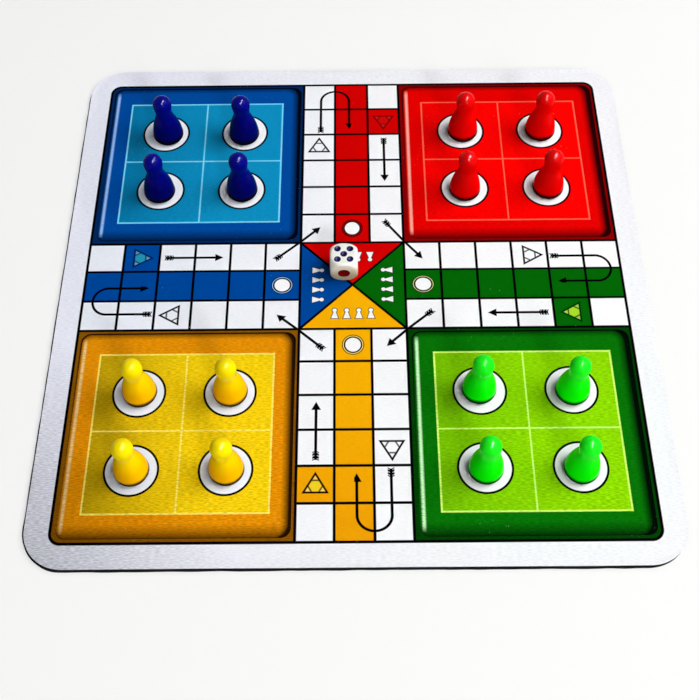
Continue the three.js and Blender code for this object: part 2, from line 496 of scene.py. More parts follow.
# %% [markdown]
# ## The cloth
# The cloth is a thin polyester weave, half a millimetre thick, bonded flat on the rubber.
# A flat box would do from far away, but real cloth sinks and rises by a few hundredths of a millimetre,
# and the knife rounds its upper edge. So the face is cut into a net of squares whose points may sink,
# the sheet is thickened by an extrusion, and its upper edge is bevelled.

# %% Cloth shape
CLOTH_TOP = CLOTH_HIGH.z
CLOTH_UNDER = CLOTH_LOW.z
NET_STEP = 5 * MM
SINK, SINK_SCALE = 0.07 * MM, 38
EDGE_ROUND = 0.18 * MM
# A face is upright when its normal rises less than this.
LEVEL = 0.5

cloth = bmesh.new()
rounded_square(cloth, CLOTH_HALF, CLOTH_TOP)
cuts = int(CLOTH_HALF / NET_STEP)
for step in range(-cuts, cuts + 1):
    for normal in ((1, 0, 0), (0, 1, 0)):
        spot = Vector(normal) * step * NET_STEP
        ops.bisect_plane(cloth, geom=[*cloth.verts, *cloth.edges, *cloth.faces],
                         plane_co=spot, plane_no=normal, dist=1e-7)
thick = ops.extrude_face_region(cloth, geom=list(cloth.faces), use_keep_orig=True)
lower_verts = [v for v in thick["geom"] if isinstance(v, bmesh.types.BMVert)]
ops.translate(cloth, verts=lower_verts, vec=(0, 0, CLOTH_UNDER - CLOTH_TOP))
ops.recalc_face_normals(cloth, faces=cloth.faces)
rim = [e for e in cloth.edges if all(v.co.z > CLOTH_UNDER + SAME_SPOT for v in e.verts)
       and any(abs(f.normal.z) < LEVEL for f in e.link_faces)]
ops.bevel(cloth, geom=rim, offset=EDGE_ROUND, segments=3, profile=0.5, affect="EDGES", material=-1)
for vert in cloth.verts:
    if vert.co.z > CLOTH_TOP - SAME_SPOT:
        swell = noise.noise(Vector((vert.co.x, vert.co.y, 0)) * SINK_SCALE) * 0.5 + 0.5
        vert.co.z -= SINK * swell
print("Cloth has", len(cloth.faces), "faces and", open_edges(cloth), "open edges")

# %% [markdown]
# ## The flat map of the cloth
# A map that shows the cloth from above gives the print nearly the whole square when it is drawn
# into a picture. The hidden underside and the thin edge are folded away into a narrow strip beside it.

# %% Flat map of the cloth
MAP_START, MAP_SHARE = 0.001, 0.975
UNDER_START, UNDER_SHARE = 0.978, 0.02
EDGE_START, EDGE_SHARE = (0.979, 0.002), (0.018, 0.97)
PRINTED = 0.2

flat_map = cloth.loops.layers.uv.new("OFBake")
for face in cloth.faces:
    for corner in face.loops:
        across, along = [(c / CLOTH_HALF + 1) / 2 for c in corner.vert.co.xy]
        if face.normal.z > LEVEL:
            place = (MAP_START + across * MAP_SHARE, MAP_START + along * MAP_SHARE)
        elif face.normal.z < -LEVEL:
            place = (UNDER_START + across * UNDER_SHARE, UNDER_START + along * UNDER_SHARE)
        else:
            depth = (CLOTH_TOP - corner.vert.co.z) / (CLOTH_TOP - CLOTH_UNDER)
            run = across if abs(face.normal.y) > abs(face.normal.x) else along
            place = (EDGE_START[0] + depth * EDGE_SHARE[0], EDGE_START[1] + run * EDGE_SHARE[1])
        corner[flat_map].uv = place
    face.material_index = 0 if face.normal.z > PRINTED else 1
print("Mapped", len(cloth.faces), "faces")

# %% [markdown]
# ## The weave
# Seen close, the cloth is a plain weave of threads a third of a millimetre apart, and thicker weft
# threads draw fine streaks from side to side. The printed face and the raw edge are the same cloth,
# so the weave is a group: it gives a shade to multiply the print with and a height for the bump.

# %% Weave group
THREAD = 0.36 * MM
FLUFF_SHADE, THREAD_SHADE, MIDDLE_SHADE = 0.25, 0.1, 0.69
THREAD_RISE, SLUB_RISE, FLUFF_RISE = 0.5, 0.5, 0.4

weave, weave_in = new_group("plain_weave", {"Place": "Vector", "Streaks": "Float"},
                            {"Shade": "Float", "Height": "Float"})
weave_x, weave_y, _ = split(weave_in["Place"])
warp = (weave_x * (math.pi / THREAD)).maths("SINE")
weft = (weave_y * (math.pi / THREAD)).maths("SINE")
crossing = (warp * weft).over(0.0)
thread_height = crossing.choose(abs(warp), abs(weft))
slub = grain(weave_in["Place"], scale=1.0, detail=0.0, stretch=(540.0, 2900.0, 1.0))
fluff = grain(weave_in["Place"], scale=2300, detail=1.0)
unevenness = slub + fluff * FLUFF_SHADE + thread_height * THREAD_SHADE - MIDDLE_SHADE
close_group(weave, Shade=unevenness * weave_in["Streaks"] + 1.0,
            Height=thread_height * THREAD_RISE + slub * SLUB_RISE + fluff * FLUFF_RISE)

# %% [markdown]
# ## The board's lattice
# A ludo board is fifteen cells by fifteen, so the print is drawn in cells, counted from the middle.
# It looks the same from all four sides apart from its colours, so the plane is folded:
# `out` is how many cells a point lies out along its own arm, `side` how far off that arm's middle line,
# and each arrow or triangle is drawn only once. Cloth gives under the press,
# so the middle columns have slipped a little to the left.

# %% Lattice of the print
CENTRE_HALF = (22.25 * MM, 21.85 * MM)
CELL = (15.30 * MM, 15.385 * MM)
BOARD_EDGE = 7.5
ARM_HALF = 1.5
LANE_HALF = 0.512
YARD_MIDDLE = 4.5
SOFTNESS = 0.014
PRINT_SLIP, SLIP_REACH = 0.42 * MM, (60 * MM, 25 * MM)

cloth_material, cloth_tree, cloth_shader = new_material("printed_cloth", Specular_IOR_Level=0.0)


def in_cells(length, centre_half, cell):
    """A length from the middle, in cells; the three middle cells are narrower than the others."""
    inner = length * (ARM_HALF / centre_half)
    outer = length.maths("MULTIPLY_ADD", 1 / cell, ARM_HALF - centre_half / cell)
    return inner.least(outer)


def inside(distance):
    """1 where a distance is below 0, with the soft edge of ink in cloth."""
    return distance.maths("MULTIPLY_ADD", -1 / SOFTNESS, 0.5, clamp=True)


def line(distance, width):
    """1 on a line of that width where the distance is 0."""
    return abs(distance).maths("MULTIPLY_ADD", -1 / SOFTNESS, 0.5 + width / (2 * SOFTNESS), clamp=True)


def say_drawn(what):
    """Prints how far the print has come."""
    print(what, "drawn,", len(cloth_tree.nodes), "nodes so far")


cloth_place = object_place(cloth_tree)
cloth_x, cloth_y, _ = split(cloth_place)
print_x = cloth_x + abs(cloth_x).fade(*SLIP_REACH) * PRINT_SLIP
wide = in_cells(abs(print_x), CENTRE_HALF[0], CELL[0])
deep = in_cells(abs(cloth_y), CENTRE_HALF[1], CELL[1])
right = print_x.over(0.0)
far = cloth_y.over(0.0)
right_sign = right * 2.0 - 1.0
far_sign = far * 2.0 - 1.0
in_side_arm = wide.over(deep)
out = wide.most(deep)
off = wide.least(deep)
side = off * (right_sign * far_sign * (1.0 - in_side_arm * 2.0))
leading = side.over(0.0)
in_board = inside(out - BOARD_EDGE)
in_yard = inside(ARM_HALF - off) * in_board
in_centre = inside(out - ARM_HALF)
say_drawn("Lattice")

# %% [markdown]
# ## Four colours
# Blue, red, green and yellow follow each other clockwise, an arm and then its yard.
# One number from 0 to 3 says whose turn a point is in, and a ramp with four hard steps makes it a colour,
# so the ramps can be read as a table of inks. The whites on the cloth's left are painted cooler, as bluer
# light.

# %% Inks of the four sides
BLACK = linear(3, 3, 5)
# White and border ink, each also in the cooler tint that is painted on the cloth's left as bluer light.
WHITE, COOL_WHITE = linear(250, 250, 252), linear(238, 242, 251)
BORDER, COOL_BORDER = linear(243, 244, 248), linear(236, 238, 250)
COOL_EDGE = (0.02, -0.10)
TEAMS = 4

TEAM_INKS = {
    "frame": [(2, 74, 158), (228, 2, 2), (9, 111, 8), (228, 144, 8)],
    "panel": [(16, 144, 194), (250, 4, 2), (141, 210, 6), (243, 207, 16)],
    "panel_dark": [(10, 118, 166), (240, 3, 3), (114, 184, 7), (186, 152, 12)],
    "panel_line": [(118, 216, 247), (255, 94, 72), (208, 250, 108), (252, 228, 96)],
    "streak": [(144, 188, 243), (255, 166, 146), (196, 250, 188), (238, 196, 118)],
    "lane": [(0, 70, 154), (208, 2, 2), (5, 98, 7), (247, 176, 6)],
    "mark": [(38, 150, 182), (206, 10, 8), (166, 214, 40), (240, 208, 36)],
    "mark_tip": [(118, 166, 188), (205, 34, 34), (176, 224, 98), (246, 218, 112)],
    "mark_line": [(0, 36, 98), (128, 3, 4), (0, 50, 8), (30, 8, 4)],
    "home_ring": [(150, 190, 230), (150, 10, 15), (200, 205, 140), (252, 218, 125)],
}

yard_turn = far.choose(3.0 - right, right)
arm_turn = in_side_arm.choose(3.0 - far * 2.0, right * 2.0)
turn = (off.over(ARM_HALF).choose(arm_turn, yard_turn) + 0.5) * (1 / TEAMS)


def team_ink(name):
    """The ink of one name in the colour of the side that a point belongs to."""
    node = cloth_tree.nodes.new("ShaderNodeValToRGB")
    node.color_ramp.interpolation = "CONSTANT"
    while len(node.color_ramp.elements) < TEAMS:
        node.color_ramp.elements.new(0.5)
    for index, (stop, ink) in enumerate(zip(node.color_ramp.elements, TEAM_INKS[name])):
        stop.position = index / TEAMS
        stop.color = linear(*ink)
    feed(node.inputs[0], turn)
    return Term(node.outputs["Color"])


print("Inks:", ", ".join(TEAM_INKS))

# %% [markdown]
# ## The four yards
# Each yard is printed like a raised plate: a dark lip, a rim line that is weaker on the near side,
# a shadow inside the right and near edges, and a bright streak down the left. A printer makes the shadow
# by moving a blurred copy of the plate, and so does this: the lit part is a second rounded box,
# a little smaller and moved away. The panel with the four rings is a little darker on its left.

# %% Yards
PLATE_HALF, PLATE_CORNER = 2.89, 0.26
LIP_INK = 0.70
RIM_LINE = 0.05
RIM_SPAN, RIM_GAIN, RIM_LEAST = 2.6, 0.5, 0.45
YARD_SLIP = 0.018
LIT_MIDDLE, LIT_HALF, LIT_CORNER = (-0.075, 0.01), (2.825, 2.84), 0.32
LIT_EDGE = (-0.15, 0.07)
LIT_SLIP = 0.04
NEAR_EDGE, NEAR_INK = (-2.5, -2.88), 0.9
SHADOW_INK = 0.98
STREAK_AT, STREAK_WIDTH, STREAK_CORE = -2.77, 0.062, 0.3
STREAK_LIFT, STREAK_END, STREAK_TAPER = 0.01, 2.76, 0.2
PANEL_HALF, PANEL_SHADE = (2.326, 2.245), (0.3, -2.5)
CROSS_LINE, PANEL_LINE, RING_LINE = 0.045, 0.048, 0.060
RING_AT, RING_RADIUS = (1.193, 1.088), 0.679


def rounded_box(across, along, half_across, half_along, corner):
    """Distance to the outline of a box with round corners, below 0 inside."""
    over_across = abs(across) - (half_across - corner)
    over_along = abs(along) - (half_along - corner)
    beyond = hypotenuse(over_across.most(0.0), over_along.most(0.0))
    return over_across.most(over_along).least(0.0) + beyond - corner


yard_x = right_sign * (wide - YARD_MIDDLE) - YARD_SLIP
yard_y = far_sign * (deep - YARD_MIDDLE)
# Painted cool light: the whites turn bluer towards the cloth's left.
painted_cool_light = cloth_x.fade(*COOL_EDGE)
white_ink = paint(WHITE, COOL_WHITE, painted_cool_light)
frame_ink = team_ink("frame")
colour = paint(white_ink, frame_ink, in_yard)
plate = rounded_box(yard_x, yard_y, PLATE_HALF, PLATE_HALF, PLATE_CORNER)
lip = in_yard * inside(plate * -1.0) * LIP_INK
rim_ink = yard_y.fade(-RIM_SPAN, RIM_SPAN) * RIM_GAIN + RIM_LEAST
colour = paint(colour, BLACK, lip.most(line(plate, RIM_LINE) * in_yard * rim_ink))
lit_x = right * LIT_SLIP + yard_x - LIT_MIDDLE[0]
lit = rounded_box(lit_x, yard_y - LIT_MIDDLE[1], LIT_HALF[0], LIT_HALF[1], LIT_CORNER)
near_shade = yard_y.fade(*NEAR_EDGE) * NEAR_INK
plate_shadow = in_yard * inside(plate) * lit.fade(*LIT_EDGE).most(near_shade)
colour = paint(colour, BLACK, plate_shadow * SHADOW_INK)
streak_band = abs(yard_x - STREAK_AT).fade(STREAK_WIDTH, STREAK_WIDTH * STREAK_CORE)
streak_length = abs(yard_y + STREAK_LIFT).fade(STREAK_END, STREAK_END - STREAK_TAPER)
colour = paint(colour, team_ink("streak"), in_yard * streak_band * streak_length)
panel = (abs(yard_x) - PANEL_HALF[0]).most(abs(yard_y) - PANEL_HALF[1])
in_panel = inside(panel) * in_yard
colour = paint(colour, team_ink("panel"), in_panel)
colour = paint(colour, team_ink("panel_dark"), in_panel * yard_x.fade(*PANEL_SHADE))
cross = line(yard_x, CROSS_LINE).most(line(yard_y, CROSS_LINE)) * in_panel
colour = paint(colour, team_ink("panel_line"), cross.most(line(panel, PANEL_LINE) * in_yard))
ring = hypotenuse(abs(yard_x) - RING_AT[0], abs(yard_y) - RING_AT[1])
disc = inside(ring - RING_RADIUS) * in_yard
colour = paint(colour, white_ink, disc)
ink = line(ring - RING_RADIUS, RING_LINE) * in_yard
say_drawn("Yards")

# %% [markdown]
# ## Lanes, cells and outlines
# The middle row of each arm and a start cell beside it are coloured; the near lane comes a little closer
# to the ink of its yard. Thin black lines part the cells, and heavier ones run round board and yards.

# %% Lanes and lines
START_CELL = 6.0
CELL_LINE = 0.074
OUTLINE = 0.076
BOARD_CORNER = 0.28
NEAR_LANE, NEAR_LANE_INK = (-0.05, -0.11), 0.5
DIAGONAL = 0.7071

in_arm = inside(off - ARM_HALF) * in_board * inside(ARM_HALF - out)
lane = inside(off - LANE_HALF)
start_cell = inside(abs(out - START_CELL) - 0.5) * leading
in_lane = lane.most(start_cell) * in_arm
colour = paint(colour, team_ink("lane"), in_lane)
colour = paint(colour, frame_ink, in_lane * cloth_y.fade(*NEAR_LANE) * NEAR_LANE_INK)
colour = paint(colour, team_ink("lane"), in_centre)
cell_ends = out.maths("FRACT") - 0.5
ink = ink.most(line(cell_ends, CELL_LINE).most(line(off - LANE_HALF, CELL_LINE)) * in_arm)
board_outline = rounded_box(wide, deep, BOARD_EDGE, BOARD_EDGE, BOARD_CORNER)
ink = ink.most(line(board_outline, OUTLINE))
ink = ink.most(line(off - ARM_HALF, OUTLINE) * in_board * inside(ARM_HALF - out))
ink = ink.most(line(out - ARM_HALF, CELL_LINE))
ink = ink.most(line((wide - deep) * DIAGONAL, CELL_LINE) * in_centre)
colour = paint(colour, paint(BORDER, COOL_BORDER, painted_cool_light), inside(board_outline * -1.0))
say_drawn("Lines")

# %% [markdown]
# ## Triangles
# Every arm has two triangles with their corners cut off: a coloured one on the start cell, which points
# inwards and has lines in a dark shade of its colour, and a white one with black lines,
# which points outwards. Folded about the arm they are one drawing.

# %% Triangles
MARK_AT = 1.0
TIP_IN, TIP_OUT = 5.71, 5.34
TRIANGLE_DEEP = 0.505
TRIANGLE_LEAN = (0.854, 0.520)
CORNER_SHARE = 0.36
TIP_INK = 0.8
MARK_LINE = 0.054
CUT_LINE, CUT_INK = 0.046, 0.85

from_tip = leading.choose(TIP_OUT - out, out - TIP_IN)
beside = abs(off - MARK_AT)
slant = beside * TRIANGLE_LEAN[0]
rise = from_tip * TRIANGLE_LEAN[1]
triangle = (slant - rise).most(from_tip - TRIANGLE_DEEP)
in_triangle = inside(triangle) * in_arm
tip_cut = from_tip - TRIANGLE_DEEP * CORNER_SHARE
base_cut = slant + rise - 2 * TRIANGLE_DEEP * TRIANGLE_LEAN[1] * (1 - CORNER_SHARE)
core = inside(base_cut) * inside(tip_cut * -1.0)
colour = paint(colour, team_ink("mark_tip"), in_triangle * leading * TIP_INK)
colour = paint(colour, team_ink("mark"), in_triangle * leading * core)
cut_lines = line(tip_cut, CUT_LINE).most(line(base_cut, CUT_LINE)) * in_triangle * CUT_INK
mark_lines = (line(triangle, MARK_LINE) * in_arm).most(cut_lines)
colour = paint(colour, team_ink("mark_line"), mark_lines * leading)
ink = ink.most(mark_lines * (1.0 - leading))
say_drawn("Triangles")

# %% [markdown]
# ## Arrows
# Three arrows stand in every arm: a straight one towards the middle, one that turns round the arm's end,
# and one that cuts the corner to the next arm. Each has a shaft, three feather strokes and a head.
# A point first finds out which arrow it is near, so feathers and heads are drawn once for all three.
# Two of the corner arrows have a tilt of their own.

# %% Arrows
SHAFT = 0.077
TURN_MIDDLE, TURN_RADIUS = -0.512, 0.445
TURN_START, TURN_SQUEEZE, TURN_SPAN = 6.82, 1.10, (-1.2, 0.2)
STRAIGHT_TAIL, STRAIGHT_TIP = 5.32, 3.70
STRAIGHT_MIDDLE, STRAIGHT_HALF = 4.56, 0.78
ROUND_TAIL, ROUND_TIP = 5.595, 5.71
CORNER_TAIL, CORNER_TIP = 0.915, 0.79
CORNER_LINE, CORNER_REACH = 3.05, 2.75
CORNER_TILT, NEAR_LEFT_TILT, FAR_RIGHT_TILT = -0.06, 0.079, -0.12
HEAD_LONG, HEAD_HALF = 0.235, 0.13
INTO_HEAD = HEAD_LONG * 0.8
FEATHERS, FEATHER_STEP, FEATHER_HALF, FEATHER_SLANT = 3, 0.08, 0.088, 0.5
STROKE_EDGE = (0.05, 0.14)

trailing = 1.0 - leading
slope_out = (out - off) * DIAGONAL
near_left = (1.0 - right) * (1.0 - far)
tilt = near_left.choose((right * far).choose(CORNER_TILT, FAR_RIGHT_TILT), NEAR_LEFT_TILT)
tilt = tilt * leading.choose(1.0, -1.0)
slope_off = abs((out + off - CORNER_LINE) * DIAGONAL - slope_out * tilt)
near_middle = 1.0 - out.over(CORNER_REACH)
bend = hypotenuse((out - TURN_START).most(0.0) * TURN_SQUEEZE, side - TURN_MIDDLE) - TURN_RADIUS
returning = side.over(TURN_MIDDLE)
round_start = returning.choose(ROUND_TAIL, ROUND_TIP + INTO_HEAD)
round_shaft = line(bend, SHAFT) * out.over(round_start)
round_shaft = round_shaft * side.over(TURN_SPAN[0]) * (1.0 - side.over(TURN_SPAN[1]))
straight_shaft = line(beside, SHAFT) * leading * inside(abs(out - STRAIGHT_MIDDLE) - STRAIGHT_HALF)
corner_end = leading.choose(CORNER_TIP - INTO_HEAD, CORNER_TAIL)
corner_shaft = line(slope_off, SHAFT) * inside(slope_out - corner_end) * near_middle
arrows = round_shaft.most(straight_shaft).most(corner_shaft)

from_head = leading.choose(out - ROUND_TIP, out - STRAIGHT_TIP)
from_head = (near_middle * trailing).choose(from_head, CORNER_TIP - slope_out)
head_side = leading.choose(abs(bend), beside)
head_side = near_middle.choose(head_side, slope_off)
head = inside(head_side - from_head * (HEAD_HALF / HEAD_LONG)) * inside(from_head - HEAD_LONG)
head_here = leading.choose(returning.most(near_middle), 1.0 - near_middle)
arrows = arrows.most(head * head_here)

from_tail = leading.choose(out - ROUND_TAIL, STRAIGHT_TAIL - out)
from_tail = near_middle.choose(from_tail, CORNER_TAIL - slope_out)
feather = (from_tail + head_side * FEATHER_SLANT) * (1 / FEATHER_STEP)
strokes = abs(feather.maths("FRACT") - 0.5).fade(*STROKE_EDGE)
feathers = strokes * inside(abs(feather - FEATHERS / 2) - FEATHERS / 2) * inside(head_side - FEATHER_HALF)
feathers_here = near_middle.choose(leading.choose(1.0 - returning, 1.0), leading)
arrows = arrows.most(feathers * feathers_here)
ink = ink.most(arrows * in_arm)
say_drawn("Arrows")

# %% [markdown]
# ## Home discs and the middle field
# The lane of each side ends in a white disc with a double ring. The four triangles of the middle field
# are each marked with a row of four little pawns, one for every pawn that has to come home.

# %% Home discs and little pawns
HOME_AT, HOME_RADIUS = 2.0, 0.225
# A radius and a width for each ring, half a width for the tinted one.
HOME_TINT, HOME_INNER, HOME_OUTER = (0.272, 0.016), (0.236, 0.044), (0.296, 0.026)
LITTLE_PITCH = 0.34
LITTLE_HEAD_AT, LITTLE_HEAD = 0.88, 0.062
LITTLE_TOP, LITTLE_FOOT = 0.88, 1.15
LITTLE_FLARE, LITTLE_NECK = 0.33, 0.012
LITTLE_RIM = 0.022

home = hypotenuse(out - HOME_AT, off)
colour = paint(colour, team_ink("home_ring"), inside(abs(home - HOME_TINT[0]) - HOME_TINT[1]) * in_arm)
colour = paint(colour, WHITE, inside(home - HOME_RADIUS) * in_arm)
inner_ring = line(home - HOME_INNER[0], HOME_INNER[1])
ink = ink.most(inner_ring.most(line(home - HOME_OUTER[0], HOME_OUTER[1])) * in_arm)

little_side = abs(abs(off - LITTLE_PITCH) - LITTLE_PITCH / 2)
little_head = hypotenuse(out - LITTLE_HEAD_AT, little_side) - LITTLE_HEAD
little_body = little_side - (out - LITTLE_TOP).maths("MULTIPLY_ADD", LITTLE_FLARE, LITTLE_NECK)
little_body = little_body.most(out - LITTLE_FOOT).most(LITTLE_TOP - out)
little_pawn = little_head.least(little_body)
in_row = inside(off - 2 * LITTLE_PITCH) * in_centre
colour = paint(colour, BLACK, inside(little_pawn - LITTLE_RIM) * in_row)
colour = paint(colour, linear(245, 245, 245), inside(little_pawn) * in_row)
colour = paint(colour, BLACK, ink)
say_drawn("Home discs")

# %% [markdown]
# ## Finish of the cloth
# Ink lies in the threads, so the weave's shade is multiplied into the print, and a little lint lies on it.
# The dense ink of the arms and discs covers the weave better than the other inks do,
# and in the near yards the threads show most. The near left corner is darkened by a painted shade.
# The raw edge is dark grey.

# %% Cloth finish
# Lean, edges and strength of the painted shade in the near left corner.
CORNER_SHADE_LEAN, CORNER_SHADE_EDGE, CORNER_SHADE_INK = 0.8, (-0.14, -0.235), 0.52
DENSE_STREAKS, OPEN_STREAKS = 0.12, 0.25
RUBBED_EDGE, RUBBED_STREAKS = (0.07, -0.08), 0.6
CLOTH_ROUGH, THREAD_GLOSS = 0.95, 0.15


def shaded(colour, shade):
    """A colour multiplied by a shade that changes over the surface."""
    node = shade.tree.nodes.new("ShaderNodeVectorMath")
    node.operation = "SCALE"
    wire(node, Vector=colour, Scale=shade)
    return Term(node.outputs[0])


dense_ink = (in_board * (1.0 - in_yard)).most(disc)
# A painted shade that darkens the near left corner of the cloth.
painted_corner_shade = (cloth_x + cloth_y * CORNER_SHADE_LEAN).fade(*CORNER_SHADE_EDGE)
rubbed = in_board.choose(painted_corner_shade + OPEN_STREAKS, cloth_y.fade(*RUBBED_EDGE) * RUBBED_STREAKS + OPEN_STREAKS)
streaks = dense_ink.choose(rubbed, DENSE_STREAKS)
cloth_weave = place_group(cloth_tree, weave, Place=cloth_place, Streaks=streaks)
cloth_lint = place_group(cloth_tree, lint, Place=cloth_place, Amount=0.3)["Mask"]
# The painted corner shade darkens the print along with the weave's shade.
colour = shaded(colour, cloth_weave["Shade"] * (1.0 - painted_corner_shade * CORNER_SHADE_INK))
colour = paint(colour, linear(230, 230, 230), cloth_lint)
wire(cloth_shader, Base_Color=colour, Roughness=cloth_weave["Height"] * -THREAD_GLOSS + CLOTH_ROUGH)
bump(cloth_shader, cloth_weave["Height"], distance=0.07 * MM, strength=0.6)

edge_material, edge_tree, edge_shader = new_material(
    "raw_cloth_edge", Roughness=0.9, Specular_IOR_Level=0.0)
edge_weave = place_group(edge_tree, weave, Place=object_place(edge_tree), Streaks=0.5)
# The raw edge is a plain dark grey.
wire(edge_shader, Base_Color=shaded(linear(44, 44, 49)[:3], edge_weave["Shade"]))
bump(edge_shader, edge_weave["Height"], distance=0.1 * MM)

cloth_top = make_piece(cloth, "printed_cloth_top", "mat", "mat_fabric_top",
                       [cloth_material, edge_material], smooth_angle=35)

# %% [markdown]
# ## A pawn
# The pawns are injection moulded: round head, long neck, a skirt that swings out to the foot, hollow below.
# They could be turned on a screw modifier; here half the outline is swept round by spin, in stretches,
# which leaves room for the fine ridge between the mould's two halves.

# %% Outline of a pawn
PAWN_LOW, PAWN_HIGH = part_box("blue_pawn_1")
PAWN_HEIGHT = PAWN_HIGH.z - PAWN_LOW.z
FOOT_RADIUS = (PAWN_HIGH.x - PAWN_LOW.x) / 2
HEAD_RADIUS = 4.15 * MM
HEAD_MIDDLE = PAWN_HEIGHT - HEAD_RADIUS
NECK_RADIUS = 3.65 * MM
NECK_HEIGHT = HEAD_MIDDLE - 4.9 * MM
FOOT_ROUND = 1.6 * MM
FOOT_LAND = 0.7 * MM
ROOF_HEIGHT = NECK_HEIGHT - 3.2 * MM
ROOF_RADIUS = NECK_RADIUS - 0.8 * MM
ROOF_EDGE = 0.6 * MM
THROAT = 1.8 * MM
SKIRT = [(FOOT_RADIUS, FOOT_ROUND), (FOOT_RADIUS - 0.6 * MM, NECK_HEIGHT * 0.62),
         (NECK_RADIUS + 0.07 * MM, NECK_HEIGHT * 0.82), (NECK_RADIUS, NECK_HEIGHT)]
SIDE_STEPS, THROAT_STEPS, HEAD_STEPS, FOOT_STEPS, HOLLOW_STEPS = 14, 7, 11, 6, 5


def curve(points, share):
    """A point on the smooth curve with four handles, as (radius, height)."""
    rest = 1 - share
    weights = (rest ** 3, 3 * rest * rest * share, 3 * rest * share * share, share ** 3)
    return tuple(sum(w * p[i] for w, p in zip(weights, points)) for i in (0, 1))


def pawn_outline():
    """The hollow from its roof to the foot, and the outside from the foot to the crown."""
    outside = []
    for step in range(FOOT_STEPS):
        angle = -math.pi / 2 + step / FOOT_STEPS * math.pi / 2
        draw_in = FOOT_ROUND * (1 - math.cos(angle))
        outside.append((FOOT_RADIUS - draw_in, FOOT_ROUND * (1 + math.sin(angle))))
    outside += [curve(SKIRT, step / SIDE_STEPS) for step in range(SIDE_STEPS)]
    throat = [(NECK_RADIUS, NECK_HEIGHT), (NECK_RADIUS, NECK_HEIGHT + THROAT),
              (HEAD_RADIUS, HEAD_MIDDLE - THROAT), (HEAD_RADIUS, HEAD_MIDDLE)]
    outside += [curve(throat, step / THROAT_STEPS) for step in range(THROAT_STEPS)]
    for step in range(HEAD_STEPS + 1):
        angle = step / HEAD_STEPS * math.pi / 2
        outside.append((HEAD_RADIUS * math.cos(angle), HEAD_MIDDLE + HEAD_RADIUS * math.sin(angle)))
    outside[-1] = (0.0, PAWN_HEIGHT)
    mouth = outside[0][0] - FOOT_LAND
    hollow = [(mouth + (ROOF_RADIUS - mouth) * step / HOLLOW_STEPS, ROOF_HEIGHT * step / HOLLOW_STEPS)
              for step in range(HOLLOW_STEPS)]
    hollow += [(ROOF_RADIUS, ROOF_HEIGHT - ROOF_EDGE), (ROOF_RADIUS - ROOF_EDGE, ROOF_HEIGHT),
               (0.0, ROOF_HEIGHT)]
    return hollow[::-1], outside


pawn_hollow, pawn_outside = pawn_outline()
print("Pawn outline has", len(pawn_hollow) + len(pawn_outside), "points")

# %% [markdown]
# ## Sweeping a pawn round
# Spin goes on from the last outline that it made, so the sweep is a chain: a wide stretch,
# two narrow ones, and again. The points between two narrow stretches move out and become the ridge.

# %% Spin a pawn
WIDE_STEPS = 26
RIDGE_ANGLE = math.radians(1.6)
RIDGE_HEIGHT = 0.035 * MM
RIDGE_END = HEAD_RADIUS * 0.3
ON_SKIN = 0.01 * MM
# The angle of a stretch, its steps and whether it ends on the ridge.
SWEEP = 2 * [(math.pi - 2 * RIDGE_ANGLE, WIDE_STEPS, False),
             (RIDGE_ANGLE, 1, True), (RIDGE_ANGLE, 1, False)]


def on_skin(reach, height):
    """True for a point of the pawn's outside."""
    return min(abs(p[0] - reach) + abs(p[1] - height) for p in pawn_outside) < ON_SKIN


def pawn_shape(foot, turn):
    """A pawn whose foot stands on a point, with its mould ridge turned to an angle."""
    bm = bmesh.new()
    verts = [bm.verts.new((r, 0, z)) for r, z in pawn_hollow + pawn_outside]
    outline = verts + [bm.edges.new(pair) for pair in zip(verts, verts[1:])]
    for angle, steps, on_ridge in SWEEP:
        swept = ops.spin(bm, geom=outline, cent=(0, 0, 0), axis=(0, 0, 1), angle=angle, steps=steps)
        outline = swept["geom_last"]
        if on_ridge:
            for vert in (g for g in outline if isinstance(g, bmesh.types.BMVert)):
                reach = vert.co.xy.length
                if reach > RIDGE_END and on_skin(reach, vert.co.z):
                    vert.co.xy *= 1 + RIDGE_HEIGHT / reach
    weld(bm)
    ops.recalc_face_normals(bm, faces=bm.faces)
    ops.rotate(bm, verts=bm.verts, cent=(0, 0, 0), matrix=Matrix.Rotation(turn, 3, "Z"))
    ops.translate(bm, verts=bm.verts, vec=foot)
    return bm


print("A pawn is swept in", len(SWEEP), "stretches")

# %% [markdown]
# ## Moulded plastic
# The pawns and the die are glossy plastic. A moulding isn't a mirror: its skin has a faint orange peel,
# its pigment is not quite even, and hands leave duller patches. A painted shade darkens the foot where it
# meets the cloth. The colour is painted lighter with height up to a set reach, as painted light and shade.
# That is a group, and the plastics set its colours, its gloss, that reach and the painted foot shade.

# %% Moulded plastic group and the four pawn plastics
PIGMENT_EDGE, PIGMENT_SHARE = (0.32, 0.68), 0.08
HANDLED_EDGE, HANDLED_ROUGH = (0.45, 0.75), 0.06
# The painted foot shade: how matt it is, how ragged its edge, where it begins and where it is full.
FOOT_SHADE_ROUGH, FOOT_SHADE_RAGGED = 0.4, 0.4 * MM
FOOT_SHADE_TOP, FOOT_SHADE_FULL = CLOTH_TOP + 3.7 * MM, CLOTH_TOP + 2.3 * MM
# Where the painted light with height turns from the low colour to the top colour.
LIGHT_EDGE = (0.45, 1.0)

moulded, moulded_in = new_group(
    "moulded_plastic",
    {"Place": "Vector", "Colour": "Color", "Deep": "Color", "Gloss": "Float", "Dirt": "Float",
     "Reach": "Float"},
    {"Colour": "Color", "Roughness": "Float", "Height": "Float", "Clean": "Float"})
moulded_z = split(moulded_in["Place"])[2]
pigment = grain(moulded_in["Place"], scale=160).fade(*PIGMENT_EDGE)
handled = grain(moulded_in["Place"], scale=240).fade(*HANDLED_EDGE)
peel = grain(moulded_in["Place"], scale=900, detail=1.0)
